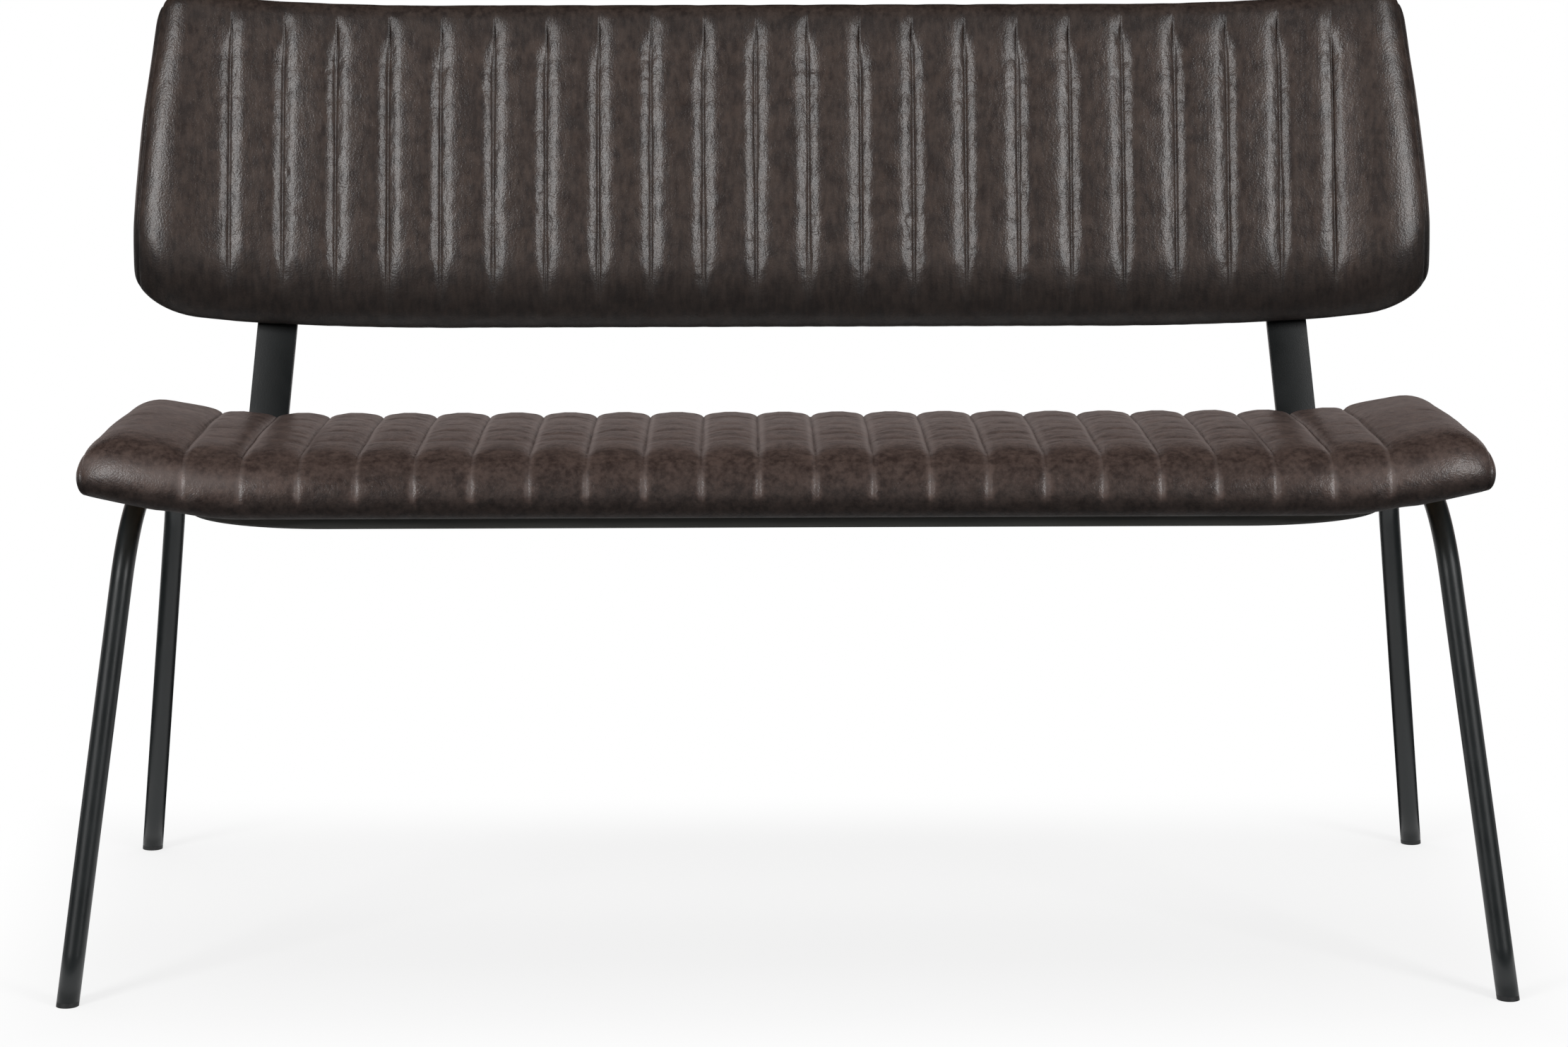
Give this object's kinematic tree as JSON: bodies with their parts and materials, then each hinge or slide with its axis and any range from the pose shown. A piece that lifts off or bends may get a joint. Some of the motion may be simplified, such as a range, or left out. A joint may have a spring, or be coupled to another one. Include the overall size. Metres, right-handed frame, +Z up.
{
  "type": "dining bench",
  "caption": "Upholstered bench with a channelled leather seat and back on splayed bent tube legs, the back carried by two bent flat steel bars.",
  "frame": {"origin": "on the floor, at the middle of the rectangle of the four feet", "axes": "+X along the bench to the right as seen from the front, -Y towards the front, +Z up"},
  "size_m": [1.2902, 0.6008, 0.8605],
  "materials": {
    "frame_steel": "satin black powder coat",
    "foot_plastic": "matt black moulded",
    "bolt_steel": "blackened steel",
    "zinc_steel": "zinc plated",
    "panel_black": "black lacquered panel",
    "plywood": "raw moulded plywood",
    "foam": "open cell upholstery foam",
    "channel_leather": "semi gloss dark brown leather over quilting, sewn in vertical channels",
    "rear_leather": "semi gloss dark brown leather, plain"
  },
  "bodies": {
    "root": {"left_leg_frame": "frame_steel", "right_leg_frame": "frame_steel", "left_leg_plates": "frame_steel", "right_leg_plates": "frame_steel", "front_left_foot_cap": "foot_plastic", "front_right_foot_cap": "foot_plastic", "rear_left_foot_cap": "foot_plastic", "rear_right_foot_cap": "foot_plastic", "leg_bolts": "bolt_steel", "leg_inserts": "zinc_steel", "left_back_bar": "frame_steel", "right_back_bar": "frame_steel", "seat_bar_bolts": "bolt_steel", "seat_bar_inserts": "zinc_steel", "back_bar_bolts": "bolt_steel", "back_bar_inserts": "zinc_steel", "base_panel": "panel_black", "panel_screws": "zinc_steel", "seat_board": "plywood", "seat_foam": "foam", "seat_cover": "channel_leather", "back_board": "plywood", "back_foam": "foam", "back_cover": "channel_leather", "back_rear_panel": "rear_leather"}
  },
  "joints": []
}
